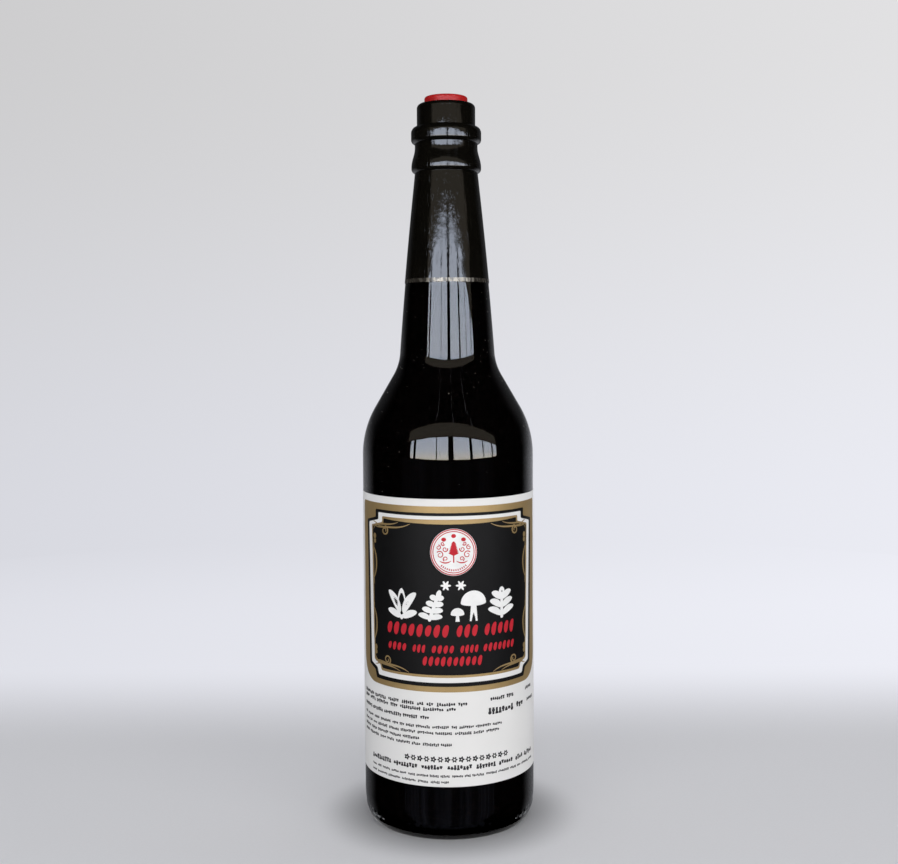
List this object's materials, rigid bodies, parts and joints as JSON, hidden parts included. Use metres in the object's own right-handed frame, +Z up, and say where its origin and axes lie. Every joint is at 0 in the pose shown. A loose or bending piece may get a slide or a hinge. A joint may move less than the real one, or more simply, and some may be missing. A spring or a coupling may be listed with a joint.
{
  "type": "soy sauce bottle",
  "caption": "Tall round glass bottle of dark soy sauce with a tapered neck, a black shrink capsule over its red stopper and a wrapped paper label.",
  "frame": {"origin": "centre of the ring that the bottle stands on, on the table's surface", "axes": "+Z up along the bottle's axis, -Y towards the middle of the label's front, +Y through the label's lap"},
  "size_m": [0.0714, 0.0716, 0.2991],
  "materials": {
    "bottle_glass": "polished",
    "dark_sauce": "gloss",
    "red_plastic": "gloss",
    "black_film": "gloss",
    "printed_paper": "satin"
  },
  "bodies": {
    "root": {"bottle": "bottle_glass", "soy_sauce": "dark_sauce", "stopper": "red_plastic", "capsule": "black_film", "label": "printed_paper"}
  },
  "joints": []
}
